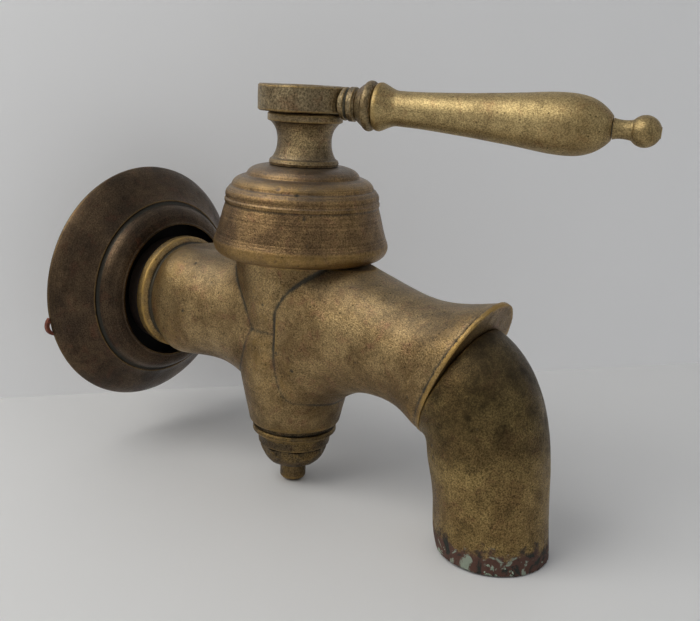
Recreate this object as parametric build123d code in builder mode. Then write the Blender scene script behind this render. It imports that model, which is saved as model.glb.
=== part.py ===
"""A large cast-bronze plug cock: a wall tap with a rosette, a lever handle and a turned-down spout.

Frame: millimetres, +Z up, +X from the wall to the spout. The origin is on the inlet axis, in the
plane of the rosette's back rim. The lever rests part-way between open and closed.
"""

import os
from math import cos, pi, radians, sin

from build123d import *

os.makedirs("parts", exist_ok=True)

# Driving dimensions
AXIS_X = 109.0  # wall plane to the plug's axis
LEVER_ANGLE = 17.0  # lever's bearing at rest, from the spout towards +Y
LEVER_DROOP = 1.6  # how far the lever hangs below level
CLOSED_ANGLE = 90.0  # the lever stands across the spout when the tap is shut
RUNNING_GAP = 0.05  # ground fit between the plug and the barrel
PIECE_GAP = 0.35  # between faces that turn past each other

# Ground plug
PLUG_LOW = -48.4
PLUG_HIGH = 46.0
PLUG_LOW_R = 15.5
PLUG_HIGH_R = 22.0
PORT_WIDTH = 19.0
PORT_HEIGHT = 40.0
FLANGE_R = 29.5
FLANGE_TOP = 53.0
SHANK_SQUARE = 13.0
SHANK_R = 6.0
SHANK_SQUARE_TOP = 72.0

# Barrel of the body
BARREL_BOTTOM = -48.4
BARREL_TOP = 46.0
SEAT_Z = 31.6  # faced seat under the cap's skirt
SKIRT_SWEEP_R = 43.0
LAND_R = 30.0  # barrel above the seat, inside the skirt
PACKING_R = 25.8
PACKING_DEPTH = 3.0
STOP_PIN_R = 1.3
STOP_PIN_OUT = 27.8  # pin's distance from the plug's axis

# Inlet
THREAD_R = 20.95  # 1 1/4 inch pipe thread
INNER_THREAD_R = 20.0  # the tailpiece's other end, from its shoulder at the backing plate into the body
SEAL_THICKNESS = 7.0
SEAL_R = 27.4
BACKING_BACK = 10.0  # backing plate behind the rosette's hole
BACKING_FRONT = 13.0
BACKING_R = 43.0
TAIL_BACK = -28.0
TAIL_FRONT = 50.0
TAIL_BORE_R = 16.0
RING_R = 29.0
RING_BACK = 26.4
RING_FRONT = 33.6

# Rosette
ROSETTE_R = 61.6
ROSETTE_HOLE_R = 34.0
ROSETTE_FRONT = 26.0
ROSETTE_WALL = 2.6

# Collar and spout
COLLAR_X = AXIS_X + 92.3
COLLAR_Z = -0.3
COLLAR_TILT = 24.5  # the collar faces this far below level
COLLAR_HALF_HEIGHT = 33.2
COLLAR_DROP = -2.2  # the collar's centre below its frame, along its slope
COLLAR_HALF_WIDTH = 25.0
COLLAR_RIM = 2.2
NOZZLE_DROP = -8.0  # nozzle's centre below the collar's, along its slope
MOUTH_X = AXIS_X + 110.5
MOUTH_Z = -75.6
MOUTH_R = 23.8
MOUTH_BORE_R = 19.5
MOUTH_BORE_LENGTH = 16.0
MOUTH_STEP = 0.3  # step where the cast passage meets the bored mouth
SPIGOT_R = 22.0
SPIGOT_BORE_R = 19.4
SPIGOT_LENGTH = 7.0

# Cap, neck and lever hub
SKIRT_LOW = 32.4
CAP_TOP = 73.0
CAP_CAVITY_R = 32.8
NECK_TOP = 96.0
HUB_TOP = 108.0
HUB_R = 20.0
HUB_OUT = 1.7  # the eye is cast this far off the plug's axis, away from the lever
HUB_SQUARE = 9.4
HUB_SQUARE_ROUND = 1.8
SCREW_SEAT = HUB_TOP - 3.0
LEVER_Z = 101.3

# Lever, distances out from the hub's centre
STEM_START = 11.5
STEM_R = 4.9
TANG_START = 18.0
TANG_R = 4.0
TANG_TIP_R = 2.4
TANG_STEP = 126.0
TANG_END = 139.0
BOSS_END = 24.8
FERRULE_END = 33.0
GRIP_END = 131.8
KNOB_CENTRE = 144.0

# Screw in the hub's top
SCREW_R = 2.4
SCREW_LENGTH = 14.0
SCREW_HEAD_R = 7.5

PLUG_AXIS = Axis((AXIS_X, 0, 0), (0, 0, 1))
PLUG_PLANE = Plane(origin=(AXIS_X, 0, 0), x_dir=(1, 0, 0), z_dir=(0, -1, 0))
COLLAR_PLANE = Plane(
    origin=(COLLAR_X, 0, COLLAR_Z),
    x_dir=(0, 1, 0),
    z_dir=(cos(radians(COLLAR_TILT)), 0, -sin(radians(COLLAR_TILT))),
)
LEVER_X_DIR = (
    cos(radians(LEVER_DROOP)) * cos(radians(LEVER_ANGLE)),
    cos(radians(LEVER_DROOP)) * sin(radians(LEVER_ANGLE)),
    -sin(radians(LEVER_DROOP)),
)
HUB_X = AXIS_X - HUB_OUT * cos(radians(LEVER_ANGLE))
HUB_Y = -HUB_OUT * sin(radians(LEVER_ANGLE))
LEVER_PLANE = Plane(
    origin=(AXIS_X, 0, LEVER_Z),
    x_dir=LEVER_X_DIR,
    z_dir=(sin(radians(LEVER_ANGLE)), -cos(radians(LEVER_ANGLE)), 0),
)
LEVER_AXIS = Axis((AXIS_X, 0, LEVER_Z), LEVER_X_DIR)
STEM_PLANE = Plane(
    origin=LEVER_PLANE.from_local_coords((STEM_START, 0, 0)),
    x_dir=LEVER_PLANE.y_dir,
    z_dir=LEVER_X_DIR,
)


def plug_radius(z, gap=0.0):
    """Radius of the ground taper at height z, opened by a gap."""
    share = (z - PLUG_LOW) / (PLUG_HIGH - PLUG_LOW)
    return PLUG_LOW_R + share * (PLUG_HIGH_R - PLUG_LOW_R) + gap


def keep(piece, node):
    """Label a finished piece and write its file."""
    piece.part.label = node
    export_step(piece.part, f"parts/{node}.step")


def station(x, z, tilt):
    """Plane across a branch, facing along it; its local X runs sideways and its local Y up."""
    facing = (cos(radians(tilt)), 0, -sin(radians(tilt)))
    return Plane(origin=(AXIS_X + x, 0, z), x_dir=(0, 1, 0), z_dir=facing)


# Stations of the spout branch from the barrel to the collar:
# distance from the plug's axis, height, tilt, half width, half height
SPOUT_STATIONS = (
    (9.0, -1.0, 0.0, 26.6, 42.6),
    (12.0, -1.0, 0.0, 26.8, 42.2),
    (24.0, 1.6, 0.0, 26.6, 36.4),
    (40.0, 3.5, 1.0, 25.0, 28.4),
    (60.0, 1.2, 8.0, 23.6, 24.6),
    (76.0, -1.2, 16.0, 24.0, 27.0),
)
# The waterway inside it, from the port's slot to the collar
SPOUT_WATER = (
    (16.0, 0.0, 0.0, 9.5, 19.0),
    (40.0, 1.5, 1.0, 17.0, 19.0),
    (64.0, 0.5, 9.0, 19.0, 19.0),
)
# Stations of the inlet branch, towards the wall
INLET_STATIONS = (
    (-4.0, 0.0, 0.0, 25.6, 36.0),
    (-8.0, 0.0, 0.0, 25.8, 36.0),
    (-22.0, 0.0, 0.0, 26.4, 33.0),
    (-40.0, 0.0, 0.0, 27.2, 27.8),
    (-73.7, 0.0, 0.0, 26.0, 26.0),
)
# Stations of the nozzle's elbow, from the collar to the straight end
NOZZLE_STATIONS = (
    (97.0, -13.4, 38.0, 25.6, 27.2),
    (102.5, -24.7, 56.0, 25.6, 26.8),
    (105.8, -38.2, 72.0, 25.0, 25.3),
    (107.8, -54.0, 86.0, 24.2, 24.2),
)
NOZZLE_WALL = 4.6
OVAL_POINTS = 24
PAD_FULLNESS = 2.6


def oval(plane, half_width, half_height, drop=0.0, fullness=2.0):
    """An oval on a plane, for a loft. Fullness 2 is an ellipse, and more is squarer."""
    points = []
    for step in range(OVAL_POINTS):
        turn = 2 * pi * step / OVAL_POINTS
        x = abs(cos(turn)) ** (2 / fullness) * (1 if cos(turn) > 0 else -1)
        y = abs(sin(turn)) ** (2 / fullness) * (1 if sin(turn) > 0 else -1)
        points.append((half_width * x, half_height * y + drop))
    with BuildSketch(plane) as outline:
        with BuildLine():
            Spline(*points, periodic=True)
        make_face()
    return outline.sketch


def ovals(stations, thinner=0.0):
    """Ellipses at a branch's stations, each thinner by a wall."""
    return [
        oval(station(x, z, tilt), half_width - thinner, half_height - thinner)
        for x, z, tilt, half_width, half_height in stations
    ]


def branch(stations):
    """A branch's outer sections: full ovals for the raised pad where it leaves the barrel, then round ones."""
    return [
        oval(station(x, z, tilt), half_width, half_height, fullness=PAD_FULLNESS if i < 2 else 2.0)
        for i, (x, z, tilt, half_width, half_height) in enumerate(stations)
    ]


# Body: barrel, inlet branch and spout branch in one casting
with BuildPart() as body_casting:
    with BuildSketch(PLUG_PLANE):
        with BuildLine():
            Polyline((0, BARREL_TOP), (0, BARREL_BOTTOM), (21.0, BARREL_BOTTOM), (21.8, -47.4))
            Spline((21.8, -47.4), (23.2, -41.0), (25.2, -32.0), (26.2, 0.0))
            Polyline((26.2, 0.0), (LAND_R, SEAT_Z), (LAND_R, BARREL_TOP), (0, BARREL_TOP))
        make_face()
    revolve(axis=PLUG_AXIS)
    collar_oval = oval(COLLAR_PLANE.offset(-COLLAR_RIM), COLLAR_HALF_WIDTH, COLLAR_HALF_HEIGHT, COLLAR_DROP)
    loft(sections=[*branch(SPOUT_STATIONS), collar_oval])
    with BuildSketch(COLLAR_PLANE.offset(-COLLAR_RIM)):
        with Locations((0, COLLAR_DROP)):
            Ellipse(COLLAR_HALF_WIDTH + 0.6, COLLAR_HALF_HEIGHT + 0.6)
    extrude(amount=COLLAR_RIM)
    loft(sections=branch(INLET_STATIONS))
    # end ring with its rounded edges, and the turned groove in front of it
    with BuildSketch(Plane.XZ):
        with BuildLine():
            Polyline((RING_BACK, 0), (RING_BACK, RING_R - 1.6), (RING_BACK + 1.6, RING_R))
            Polyline((RING_BACK + 1.6, RING_R), (RING_FRONT - 1.8, RING_R), (RING_FRONT, RING_R - 2.0))
            Polyline((RING_FRONT, RING_R - 2.0), (RING_FRONT + 0.7, 25.3), (RING_FRONT + 1.9, 25.3), (RING_FRONT + 1.9, 0), (RING_BACK, 0))
        make_face()
    revolve(axis=Axis.X)
    # faced seat under the skirt
    with BuildSketch(Plane.XY.offset(SEAT_Z)):
        with Locations((AXIS_X, 0)):
            Circle(SKIRT_SWEEP_R)
            Circle(LAND_R, mode=Mode.SUBTRACT)
    extrude(amount=20.0, mode=Mode.SUBTRACT)
    # ground bore for the plug
    with BuildSketch(PLUG_PLANE):
        with BuildLine():
            bore_low = BARREL_BOTTOM - 1.0
            bore_high = BARREL_TOP + 1.0
            Polyline(
                (0, bore_low),
                (plug_radius(bore_low, RUNNING_GAP), bore_low),
                (plug_radius(bore_high, RUNNING_GAP), bore_high),
                (0, bore_high),
                close=True,
            )
        make_face()
    revolve(axis=PLUG_AXIS, mode=Mode.SUBTRACT)
    # recess for the packing ring in the barrel's top
    with BuildSketch(Plane.XY.offset(BARREL_TOP)):
        with Locations((AXIS_X, 0)):
            Circle(PACKING_R)
    extrude(amount=-PACKING_DEPTH, mode=Mode.SUBTRACT)
    # slot where the waterway meets the plug, right through both sides
    with BuildSketch(Plane.YZ.offset(AXIS_X - 34.0)):
        RectangleRounded(PORT_WIDTH, PORT_HEIGHT - 2.0, 8.0)
    extrude(amount=54.0, mode=Mode.SUBTRACT)
    # waterway through the spout branch
    socket_oval = oval(COLLAR_PLANE.offset(-SPIGOT_LENGTH), SPIGOT_BORE_R, SPIGOT_BORE_R, NOZZLE_DROP)
    loft(sections=[*ovals(SPOUT_WATER), socket_oval], mode=Mode.SUBTRACT)
    with BuildSketch(COLLAR_PLANE.offset(-SPIGOT_LENGTH)):
        with Locations((0, NOZZLE_DROP)):
            Circle(SPIGOT_R)
    extrude(amount=SPIGOT_LENGTH + 1.0, mode=Mode.SUBTRACT)
    # inlet bore and the threaded socket that holds the tailpiece
    with BuildSketch(Plane.YZ.offset(RING_BACK - 1.0)):
        Circle(TAIL_BORE_R)
    extrude(amount=AXIS_X - 30.0 - RING_BACK, mode=Mode.SUBTRACT)
    with BuildSketch(Plane.YZ.offset(RING_BACK - 1.0)):
        Circle(INNER_THREAD_R)
    extrude(amount=TAIL_FRONT - RING_BACK + 1.0, mode=Mode.SUBTRACT)
    # hole for the stop pin
    with BuildSketch(Plane.XY.offset(BARREL_TOP)):
        with Locations((AXIS_X - STOP_PIN_OUT, 0)):
            Circle(STOP_PIN_R)
    extrude(amount=-6.0, mode=Mode.SUBTRACT)
keep(body_casting, "body_casting")

# Nozzle: the turned-down end, with a spigot in the collar's socket
MOUTH_PLANE = Plane(origin=(MOUTH_X, 0, MOUTH_Z), x_dir=(0, 1, 0), z_dir=(0, 0, -1))
with BuildPart() as spout_nozzle:
    nozzle_start = oval(COLLAR_PLANE, 24.9, 27.4, NOZZLE_DROP)
    loft(sections=[nozzle_start, *ovals(NOZZLE_STATIONS), oval(MOUTH_PLANE, MOUTH_R, MOUTH_R)])
    with BuildSketch(COLLAR_PLANE.offset(-SPIGOT_LENGTH)):
        with Locations((0, NOZZLE_DROP)):
            Circle(SPIGOT_R)
    extrude(amount=SPIGOT_LENGTH)
    spigot_bore = oval(COLLAR_PLANE.offset(-SPIGOT_LENGTH), SPIGOT_BORE_R, SPIGOT_BORE_R, NOZZLE_DROP)
    cast_bore_r = MOUTH_BORE_R - MOUTH_STEP
    outlet_bore = oval(MOUTH_PLANE.offset(-MOUTH_BORE_LENGTH), cast_bore_r, cast_bore_r)
    loft(sections=[spigot_bore, *ovals(NOZZLE_STATIONS, NOZZLE_WALL), outlet_bore], mode=Mode.SUBTRACT)
    with BuildSketch(MOUTH_PLANE):
        Circle(MOUTH_BORE_R)
    extrude(amount=-MOUTH_BORE_LENGTH, mode=Mode.SUBTRACT)
keep(spout_nozzle, "spout_nozzle")

# Threaded tailpiece that screws into the wall fitting
with BuildPart() as inlet_tailpiece:
    with BuildSketch(Plane.YZ.offset(TAIL_BACK)):
        Circle(THREAD_R)
        Circle(TAIL_BORE_R, mode=Mode.SUBTRACT)
    extrude(amount=BACKING_BACK - TAIL_BACK)
    with BuildSketch(Plane.YZ.offset(BACKING_BACK)):
        Circle(INNER_THREAD_R)
        Circle(TAIL_BORE_R, mode=Mode.SUBTRACT)
    extrude(amount=TAIL_FRONT - BACKING_BACK)
    chamfer(inlet_tailpiece.edges().filter_by(GeomType.CIRCLE).sort_by(Axis.X)[0:2], 0.8)
keep(inlet_tailpiece, "inlet_tailpiece")

# Leather washer against the ring's back
with BuildPart() as tail_seal:
    with BuildSketch(Plane.YZ.offset(RING_BACK - SEAL_THICKNESS)):
        Circle(SEAL_R)
        Circle(INNER_THREAD_R, mode=Mode.SUBTRACT)
    extrude(amount=SEAL_THICKNESS)
keep(tail_seal, "tail_seal")

# Iron backing plate on the tail, which closes the view through the rosette's hole
with BuildPart() as backing_plate:
    with BuildSketch(Plane.YZ.offset(BACKING_BACK)):
        Circle(BACKING_R)
        Circle(INNER_THREAD_R, mode=Mode.SUBTRACT)
    extrude(amount=BACKING_FRONT - BACKING_BACK)
keep(backing_plate, "backing_plate")

# Rosette: a dished wall plate with an outer concave band, a groove and an inner step
with BuildPart() as wall_rosette:
    with BuildSketch(Plane.XZ):
        with BuildLine():
            Polyline((0, ROSETTE_R - ROSETTE_WALL), (0, ROSETTE_R - 0.8), (0.8, ROSETTE_R), (1.8, ROSETTE_R))
            Spline((1.8, ROSETTE_R), (4.4, ROSETTE_R - 1.8), (10.5, 53.0), (17.2, 45.6))
            Polyline((17.2, 45.6), (16.8, 44.6), (17.8, 43.8))
            Spline((17.8, 43.8), (22.4, 41.4), (24.8, 38.0), (25.6, 35.6))
            Polyline((25.6, 35.6), (ROSETTE_FRONT, 35.2), (ROSETTE_FRONT, ROSETTE_HOLE_R))
            Polyline((ROSETTE_FRONT, ROSETTE_HOLE_R), (22.6, ROSETTE_HOLE_R), (22.2, 36.2), (14.2, 42.4))
            Polyline((14.2, 42.4), (7.6, 51.2), (2.4, 58.2), (0, ROSETTE_R - ROSETTE_WALL))
        make_face()
    revolve(axis=Axis.X)
keep(wall_rosette, "wall_rosette")

# Wire loop soldered to the rosette's rim, the part that shows past its edge
LOOP_ANGLE = 13.0  # below level, on the -Y side
LOOP_CENTRE_R = 59.2
LOOP_R = 5.2
LOOP_WIRE = 1.8
with BuildPart() as rosette_loop:
    with BuildSketch(Plane.YZ):
        with Locations((-LOOP_CENTRE_R * cos(radians(LOOP_ANGLE)), -LOOP_CENTRE_R * sin(radians(LOOP_ANGLE)))):
            Circle(LOOP_R)
            Circle(LOOP_R - LOOP_WIRE, mode=Mode.SUBTRACT)
        Circle(ROSETTE_R, mode=Mode.SUBTRACT)
    extrude(amount=LOOP_WIRE)
keep(rosette_loop, "rosette_loop")

# Stop pin in the barrel's top
with BuildPart() as stop_pin:
    with BuildSketch(Plane.XY.offset(BARREL_TOP - 6.0)):
        with Locations((AXIS_X - STOP_PIN_OUT, 0)):
            Circle(STOP_PIN_R)
    extrude(amount=10.0)
keep(stop_pin, "stop_pin")

# Leather packing ring under the plug's flange
with BuildPart() as packing_ring:
    with BuildSketch(Plane.XY.offset(BARREL_TOP - PACKING_DEPTH)):
        with Locations((AXIS_X, 0)):
            Circle(PACKING_R)
            Circle(plug_radius(BARREL_TOP) + 0.3, mode=Mode.SUBTRACT)
    extrude(amount=PACKING_DEPTH)
keep(packing_ring, "packing_ring")

# Plug: ground taper with its port, flange, square, shank and threaded stud
FLANGE_LOW = BARREL_TOP + PIECE_GAP
STUD_R = 6.4
STUD_LOW = -79.4
KEY_SQUARE_LOW = -53.6
NOTCH_MARGIN = 4.0
NOTCH_R = 26.2
NOTCH_DEPTH = 4.6
with BuildPart() as plug:
    with BuildSketch(PLUG_PLANE):
        with BuildLine():
            Polyline(
                (0, PLUG_LOW),
                (PLUG_LOW_R, PLUG_LOW),
                (plug_radius(FLANGE_LOW), FLANGE_LOW),
                (FLANGE_R, FLANGE_LOW),
                (FLANGE_R, FLANGE_TOP),
                (0, FLANGE_TOP),
                close=True,
            )
        make_face()
    revolve(axis=PLUG_AXIS)
    # port, in line with the lever
    port_dir = (cos(radians(LEVER_ANGLE)), sin(radians(LEVER_ANGLE)), 0)
    port_side = (-sin(radians(LEVER_ANGLE)), cos(radians(LEVER_ANGLE)), 0)
    with BuildSketch(Plane(origin=(AXIS_X, 0, 0), x_dir=port_side, z_dir=port_dir)):
        RectangleRounded(PORT_WIDTH, PORT_HEIGHT, 8.0)
    extrude(amount=30.0, both=True, mode=Mode.SUBTRACT)
    # notch in the flange that the stop pin stands in: a quarter turn plus the pin
    with BuildSketch(Plane.XY.offset(FLANGE_LOW)):
        with BuildLine():
            notch_from = 180.0 + LEVER_ANGLE - CLOSED_ANGLE - NOTCH_MARGIN
            notch_sweep = CLOSED_ANGLE + 2 * NOTCH_MARGIN
            outer = CenterArc((AXIS_X, 0), FLANGE_R + 1.0, notch_from, notch_sweep)
            inner = CenterArc((AXIS_X, 0), NOTCH_R, notch_from, notch_sweep)
            Line(outer @ 0, inner @ 0)
            Line(outer @ 1, inner @ 1)
        make_face()
    extrude(amount=NOTCH_DEPTH, mode=Mode.SUBTRACT)
    # squares and round shank for the cap, the neck and the hub
    with BuildSketch(Plane.XY.offset(FLANGE_TOP)):
        with Locations((AXIS_X, 0)):
            Rectangle(SHANK_SQUARE, SHANK_SQUARE)
    extrude(amount=SHANK_SQUARE_TOP - FLANGE_TOP)
    with BuildSketch(Plane.XY.offset(SHANK_SQUARE_TOP)):
        with Locations((AXIS_X, 0)):
            Circle(SHANK_R)
    extrude(amount=NECK_TOP - SHANK_SQUARE_TOP)
    with BuildSketch(Plane.XY.offset(NECK_TOP)):
        with Locations((AXIS_X, 0)):
            RectangleRounded(HUB_SQUARE, HUB_SQUARE, HUB_SQUARE_ROUND)
    extrude(amount=SCREW_SEAT - NECK_TOP)
    # key square and stud below
    with BuildSketch(Plane.XY.offset(PLUG_LOW)):
        with Locations((AXIS_X, 0)):
            Rectangle(SHANK_SQUARE, SHANK_SQUARE)
    extrude(amount=KEY_SQUARE_LOW - PLUG_LOW)
    with BuildSketch(PLUG_PLANE):
        with BuildLine():
            Polyline((0, KEY_SQUARE_LOW), (STUD_R, KEY_SQUARE_LOW), (STUD_R, STUD_LOW + 2.2))
            ThreePointArc((STUD_R, STUD_LOW + 2.2), (STUD_R - 1.2, STUD_LOW + 0.6), (3.6, STUD_LOW))
            Polyline((3.6, STUD_LOW), (0, STUD_LOW), (0, KEY_SQUARE_LOW))
        make_face()
    revolve(axis=PLUG_AXIS)
    # threaded hole in the top for the hub's screw
    with BuildSketch(Plane.XY.offset(SCREW_SEAT)):
        with Locations((AXIS_X, 0)):
            Circle(SCREW_R)
    extrude(amount=-SCREW_LENGTH, mode=Mode.SUBTRACT)
keep(plug, "plug")

# Cap: stepped dome over a flared skirt that covers the barrel's top
with BuildPart() as dome_cap:
    with BuildSketch(PLUG_PLANE):
        with BuildLine():
            Polyline((0, CAP_TOP), (15.0, CAP_TOP))
            Spline((15.0, CAP_TOP), (20.0, 72.6), (24.4, 70.6), (25.8, 68.4))
            Line((25.8, 68.4), (26.6, 68.1))
            Spline((26.6, 68.1), (29.6, 67.0), (31.6, 65.2), (32.3, 63.4))
            Line((32.3, 63.4), (32.9, 63.1))
            Spline((32.9, 63.1), (34.4, 61.4), (34.9, 59.6), (34.7, 58.2))
            Polyline((34.7, 58.2), (35.3, 57.4), (35.3, 56.2), (34.9, 55.6))
            Spline((34.9, 55.6), (36.4, 50.4), (38.2, 43.6), (39.8, 39.2))
            ThreePointArc((39.8, 39.2), (39.4, 35.0), (36.2, SKIRT_LOW))
            Polyline((36.2, SKIRT_LOW), (CAP_CAVITY_R, SKIRT_LOW), (CAP_CAVITY_R, 49.0), (30.4, FLANGE_TOP))
            Polyline((30.4, FLANGE_TOP), (26.0, FLANGE_TOP), (24.0, 60.0), (15.0, 62.0), (15.0, FLANGE_TOP))
            Polyline((15.0, FLANGE_TOP), (0, FLANGE_TOP), (0, CAP_TOP))
        make_face()
    revolve(axis=PLUG_AXIS)
    with BuildSketch(Plane.XY.offset(FLANGE_TOP)):
        with Locations((AXIS_X, 0)):
            Rectangle(SHANK_SQUARE, SHANK_SQUARE)
    extrude(amount=CAP_TOP - FLANGE_TOP, mode=Mode.SUBTRACT)
keep(dome_cap, "dome_cap")

# Neck: waisted column with a collar under the lever's hub
COLLAR_RING_R = 16.9
COLLAR_RING_LOW = 91.4
with BuildPart() as neck_column:
    with BuildSketch(PLUG_PLANE):
        with BuildLine():
            Polyline((SHANK_R, CAP_TOP), (15.5, CAP_TOP), (15.9, 74.2), (15.4, 75.6), (14.4, 76.2))
            Spline((14.4, 76.2), (12.6, 80.4), (12.3, 84.0), (12.8, 87.4), (14.2, 90.2))
            Polyline((14.2, 90.2), (15.2, COLLAR_RING_LOW), (COLLAR_RING_R, 92.2))
            Polyline((COLLAR_RING_R, 92.2), (COLLAR_RING_R, 95.2), (16.2, NECK_TOP), (SHANK_R, NECK_TOP))
            Line((SHANK_R, NECK_TOP), (SHANK_R, CAP_TOP))
        make_face()
    revolve(axis=PLUG_AXIS)
keep(neck_column, "neck_column")

# Hub: the lever's round eye, on the plug's upper square
with BuildPart() as lever_hub:
    with BuildSketch(Plane.XY.offset(NECK_TOP)):
        with Locations((HUB_X, HUB_Y)):
            Circle(HUB_R)
    extrude(amount=HUB_TOP - NECK_TOP)
    chamfer(lever_hub.edges().filter_by(GeomType.CIRCLE), 0.8)
    with BuildSketch(Plane.XY.offset(NECK_TOP)):
        with Locations((AXIS_X, 0)):
            RectangleRounded(HUB_SQUARE, HUB_SQUARE, HUB_SQUARE_ROUND)
    extrude(amount=HUB_TOP - NECK_TOP, mode=Mode.SUBTRACT)
    with BuildSketch(Plane.XY.offset(SCREW_SEAT)):
        with Locations((AXIS_X, 0)):
            Circle(SCREW_HEAD_R)
    extrude(amount=HUB_TOP - SCREW_SEAT, mode=Mode.SUBTRACT)
    # hole for the lever's stem
    with BuildSketch(STEM_PLANE):
        Circle(STEM_R)
    extrude(amount=HUB_R, mode=Mode.SUBTRACT)
keep(lever_hub, "lever_hub")

# Screw that holds the hub down on the square
SLOT_WIDTH = 1.6
SLOT_DEPTH = 1.2
with BuildPart() as hub_screw:
    with BuildSketch(Plane.XY.offset(SCREW_SEAT)):
        with Locations((AXIS_X, 0)):
            Circle(SCREW_HEAD_R)
    extrude(amount=HUB_TOP - SCREW_SEAT)
    chamfer(hub_screw.edges().group_by(Axis.Z)[-1], 0.5)
    with BuildSketch(Plane.XY.offset(SCREW_SEAT)):
        with Locations((AXIS_X, 0)):
            Circle(SCREW_R)
    extrude(amount=-SCREW_LENGTH)
    with BuildSketch(Plane.XY.offset(HUB_TOP)):
        with Locations(Location((AXIS_X, 0), 35.0)):
            Rectangle(2 * SCREW_HEAD_R + 1.0, SLOT_WIDTH)
    extrude(amount=-SLOT_DEPTH, mode=Mode.SUBTRACT)
keep(hub_screw, "hub_screw")

# Lever: boss, ferrule, grip and ball end, strung on a tang. Distances run out from the hub's centre.
with BuildPart() as lever_boss:
    with BuildSketch(LEVER_PLANE):
        with BuildLine():
            Polyline((15.0, 0), (15.0, 7.1), (19.6, 7.3), (20.1, 6.6), (20.8, 6.6), (21.2, 7.6))
            Polyline((21.2, 7.6), (23.7, 7.6), (24.2, 6.8), (BOSS_END, 6.8), (BOSS_END, 0), (15.0, 0))
        make_face()
    revolve(axis=LEVER_AXIS)
    with BuildSketch(Plane.XY.offset(NECK_TOP - 10.0)):
        with Locations((HUB_X, HUB_Y)):
            Circle(HUB_R)
    extrude(amount=40.0, mode=Mode.SUBTRACT)
    with BuildSketch(STEM_PLANE):
        Circle(STEM_R)
    extrude(amount=BOSS_END - STEM_START)
    with BuildSketch(STEM_PLANE.offset(TANG_START - STEM_START)):
        Circle(TANG_R)
    extrude(amount=BOSS_END - TANG_START, mode=Mode.SUBTRACT)
keep(lever_boss, "lever_boss")

with BuildPart() as ferrule_ring:
    with BuildSketch(LEVER_PLANE):
        with BuildLine():
            Line((BOSS_END, TANG_R), (BOSS_END, 7.0))
            Spline((BOSS_END, 7.0), (26.4, 8.4), (28.2, 9.6))
            ThreePointArc((28.2, 9.6), (30.6, 10.9), (32.4, 9.8))
            Polyline((32.4, 9.8), (FERRULE_END, 9.2), (FERRULE_END, TANG_R), (BOSS_END, TANG_R))
        make_face()
    revolve(axis=LEVER_AXIS)
keep(ferrule_ring, "ferrule_ring")

with BuildPart() as grip:
    with BuildSketch(LEVER_PLANE):
        with BuildLine():
            Polyline((FERRULE_END, TANG_R), (FERRULE_END, 9.6), (33.8, 10.4), (35.2, 10.5))
            Spline((35.2, 10.5), (37.4, 9.6), (40.4, 8.2), (43.8, 7.7))
            swell = ((57.0, 8.1), (78.4, 9.6), (99.2, 11.6), (113.0, 12.7), (122.4, 11.5), (128.6, 8.2))
            Spline((43.8, 7.7), *swell, (GRIP_END, 5.0))
            Polyline((GRIP_END, 5.0), (GRIP_END, TANG_TIP_R), (TANG_STEP, TANG_TIP_R), (TANG_STEP, TANG_R))
            Line((TANG_STEP, TANG_R), (FERRULE_END, TANG_R))
        make_face()
    revolve(axis=LEVER_AXIS)
keep(grip, "grip")

with BuildPart() as end_knob:
    with BuildSketch(LEVER_PLANE):
        with BuildLine():
            Line((GRIP_END, 0), (GRIP_END, 4.5))
            Spline((GRIP_END, 4.5), (134.4, 3.9), (137.0, 3.9), (KNOB_CENTRE - 4.9, 4.2))
            ThreePointArc((KNOB_CENTRE - 4.9, 4.2), (KNOB_CENTRE, 6.45), (KNOB_CENTRE + 5.9, 2.6))
            Polyline((KNOB_CENTRE + 5.9, 2.6), (KNOB_CENTRE + 6.3, 2.2), (KNOB_CENTRE + 6.3, 0), (GRIP_END, 0))
        make_face()
    revolve(axis=LEVER_AXIS)
    with BuildSketch(STEM_PLANE.offset(GRIP_END - STEM_START)):
        Circle(TANG_TIP_R)
    extrude(amount=TANG_END - GRIP_END, mode=Mode.SUBTRACT)
keep(end_knob, "end_knob")

with BuildPart() as lever_tang:
    with BuildSketch(STEM_PLANE.offset(TANG_START - STEM_START)):
        Circle(TANG_R)
    extrude(amount=TANG_STEP - TANG_START)
    with BuildSketch(STEM_PLANE.offset(TANG_STEP - STEM_START)):
        Circle(TANG_TIP_R)
    extrude(amount=TANG_END - TANG_STEP)
keep(lever_tang, "lever_tang")

# Below the barrel: keyed washer, thrust collar and domed nut on the plug's stud
WASHER_TOP = BARREL_BOTTOM - PIECE_GAP
THRUST_LOW = -59.8
NUT_LOW = -70.4
NUT_R = 16.9  # over the eight corners
with BuildPart() as key_washer:
    with BuildSketch(PLUG_PLANE):
        with BuildLine():
            Polyline((0, WASHER_TOP), (18.8, WASHER_TOP), (18.8, -50.2), (20.0, -50.6), (20.3, -51.4))
            Polyline((20.3, -51.4), (20.3, -52.8), (19.6, KEY_SQUARE_LOW), (0, KEY_SQUARE_LOW), (0, WASHER_TOP))
        make_face()
    revolve(axis=PLUG_AXIS)
    with BuildSketch(Plane.XY.offset(WASHER_TOP)):
        with Locations((AXIS_X, 0)):
            Rectangle(SHANK_SQUARE, SHANK_SQUARE)
    extrude(amount=KEY_SQUARE_LOW - WASHER_TOP, mode=Mode.SUBTRACT)
keep(key_washer, "key_washer")

with BuildPart() as thrust_collar:
    with BuildSketch(PLUG_PLANE):
        with BuildLine():
            Polyline((STUD_R, KEY_SQUARE_LOW), (17.6, KEY_SQUARE_LOW), (17.8, -54.6), (17.2, THRUST_LOW + 0.6))
            Polyline((17.2, THRUST_LOW + 0.6), (16.7, THRUST_LOW), (STUD_R, THRUST_LOW), (STUD_R, KEY_SQUARE_LOW))
        make_face()
    revolve(axis=PLUG_AXIS)
keep(thrust_collar, "thrust_collar")

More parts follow.
